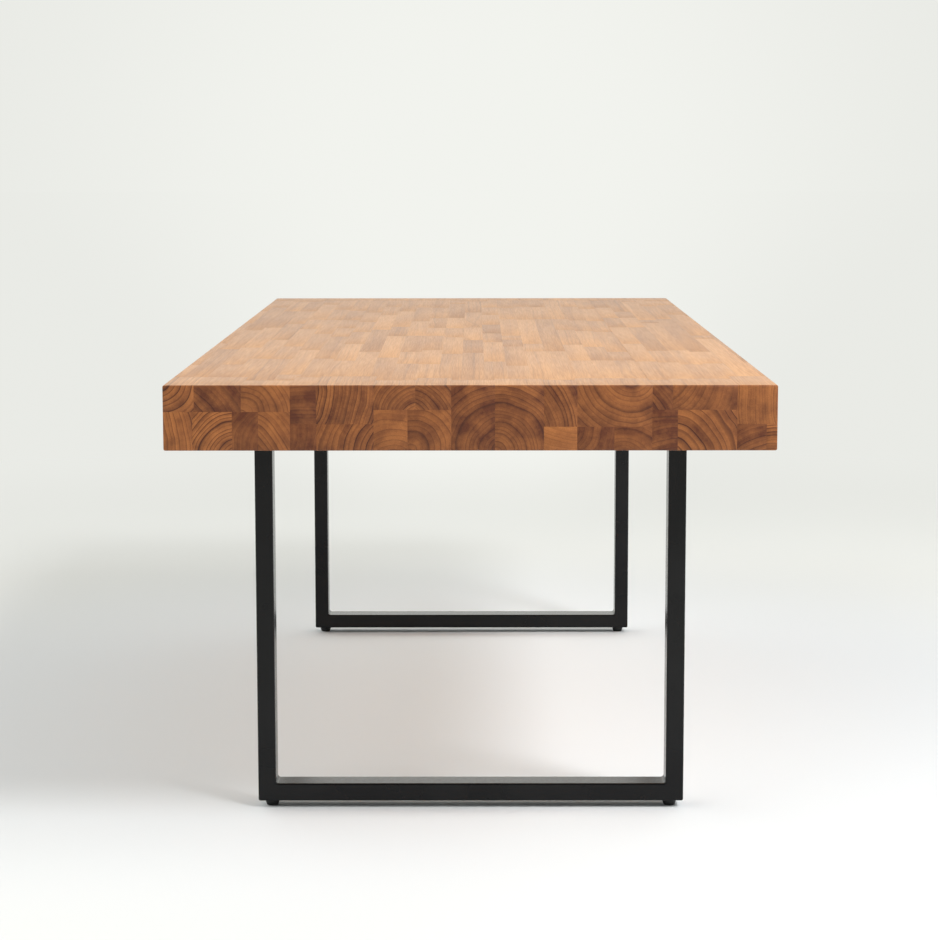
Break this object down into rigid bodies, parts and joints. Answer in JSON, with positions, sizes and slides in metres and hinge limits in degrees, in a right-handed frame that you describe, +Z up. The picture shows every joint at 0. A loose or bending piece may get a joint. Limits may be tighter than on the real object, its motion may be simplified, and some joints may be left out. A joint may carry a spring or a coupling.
{
  "type": "butcher block table",
  "caption": "Dining table with a thick slab glued up from timber staves, standing on two steel tube hoops with screw glides.",
  "frame": {"origin": "on the floor under the middle of the table top", "axes": "+Y along the table's length towards its back end, +X across its width, +Z up"},
  "size_m": [0.942, 2.2, 0.75],
  "materials": {
    "timber_light": "oiled, satin",
    "timber_mid": "oiled, satin",
    "timber_dark": "oiled, satin",
    "black_powder_coat": "fine textured black powder coat",
    "zinc_steel": "zinc plated",
    "black_plastic": "moulded matte"
  },
  "bodies": {
    "table": {"upper_stave_01": "timber_mid", "upper_stave_02": "timber_dark", "upper_stave_03": "timber_light", "lower_stave_01": "timber_light", "lower_stave_02": "timber_mid", "lower_stave_03": "timber_dark", "lower_stave_04": "timber_light", "upper_stave_04": "timber_dark", "lower_stave_05": "timber_dark", "upper_stave_05": "timber_mid", "lower_stave_06": "timber_mid", "upper_stave_06": "timber_light", "upper_stave_07": "timber_mid", "lower_stave_07": "timber_light", "lower_stave_08": "timber_mid", "full_stave_01": "timber_dark", "full_stave_02": "timber_mid", "upper_stave_08": "timber_dark", "lower_stave_09": "timber_light", "upper_stave_09": "timber_mid", "lower_stave_10": "timber_dark", "lower_stave_11": "timber_mid", "upper_stave_10": "timber_dark", "upper_stave_11": "timber_mid", "lower_stave_12": "timber_dark", "lower_stave_13": "timber_mid", "upper_stave_12": "timber_light", "lower_stave_14": "timber_dark", "lower_stave_15": "timber_mid", "front_right_upright": "black_powder_coat", "front_top_rail": "black_powder_coat", "front_left_upright": "black_powder_coat", "front_floor_rail": "black_powder_coat", "front_plate": "black_powder_coat", "front_plate_bolt_front_left": "zinc_steel", "front_plate_bolt_front_right": "zinc_steel", "front_plate_bolt_back_left": "zinc_steel", "front_plate_bolt_back_right": "zinc_steel", "back_right_upright": "black_powder_coat", "back_top_rail": "black_powder_coat", "back_left_upright": "black_powder_coat", "back_floor_rail": "black_powder_coat", "back_plate": "black_powder_coat", "back_plate_bolt_front_left": "zinc_steel", "back_plate_bolt_front_right": "zinc_steel", "back_plate_bolt_back_left": "zinc_steel", "back_plate_bolt_back_right": "zinc_steel", "front_left_weld_nut": "zinc_steel", "front_right_weld_nut": "zinc_steel", "back_left_weld_nut": "zinc_steel", "back_right_weld_nut": "zinc_steel"},
    "front_left_pad": {"front_left_glide_pad": "black_plastic"},
    "front_left_stem": {"front_left_glide_stem": "zinc_steel"},
    "front_right_pad": {"front_right_glide_pad": "black_plastic"},
    "front_right_stem": {"front_right_glide_stem": "zinc_steel"},
    "back_left_pad": {"back_left_glide_pad": "black_plastic"},
    "back_left_stem": {"back_left_glide_stem": "zinc_steel"},
    "back_right_pad": {"back_right_glide_pad": "black_plastic"},
    "back_right_stem": {"back_right_glide_stem": "zinc_steel"}
  },
  "joints": [
    {"name": "front_left_pad_travel", "type": "slide", "parent": "table", "child": "front_left_pad", "axis": [0, 0, -1], "range_m": [0, 0.01]},
    {"name": "front_left_stem_turn", "type": "hinge", "parent": "front_left_pad", "child": "front_left_stem", "pos_m": [-0.338, -0.758, 0.02], "axis": [0, 0, -1], "range_deg": [0, 2880]},
    {"name": "front_right_pad_travel", "type": "slide", "parent": "table", "child": "front_right_pad", "axis": [0, 0, -1], "range_m": [0, 0.01]},
    {"name": "front_right_stem_turn", "type": "hinge", "parent": "front_right_pad", "child": "front_right_stem", "pos_m": [0.338, -0.758, 0.02], "axis": [0, 0, -1], "range_deg": [0, 2880]},
    {"name": "back_left_pad_travel", "type": "slide", "parent": "table", "child": "back_left_pad", "axis": [0, 0, -1], "range_m": [0, 0.01]},
    {"name": "back_left_stem_turn", "type": "hinge", "parent": "back_left_pad", "child": "back_left_stem", "pos_m": [-0.338, 0.758, 0.02], "axis": [0, 0, -1], "range_deg": [0, 2880]},
    {"name": "back_right_pad_travel", "type": "slide", "parent": "table", "child": "back_right_pad", "axis": [0, 0, -1], "range_m": [0, 0.01]},
    {"name": "back_right_stem_turn", "type": "hinge", "parent": "back_right_pad", "child": "back_right_stem", "pos_m": [0.338, 0.758, 0.02], "axis": [0, 0, -1], "range_deg": [0, 2880]}
  ],
  "couplings": [
    {"joint": "front_left_pad_travel", "follows": "front_left_stem_turn", "m_per_rad": 0.00019894},
    {"joint": "front_right_pad_travel", "follows": "front_right_stem_turn", "m_per_rad": 0.00019894},
    {"joint": "back_left_pad_travel", "follows": "back_left_stem_turn", "m_per_rad": 0.00019894},
    {"joint": "back_right_pad_travel", "follows": "back_right_stem_turn", "m_per_rad": 0.00019894}
  ]
}
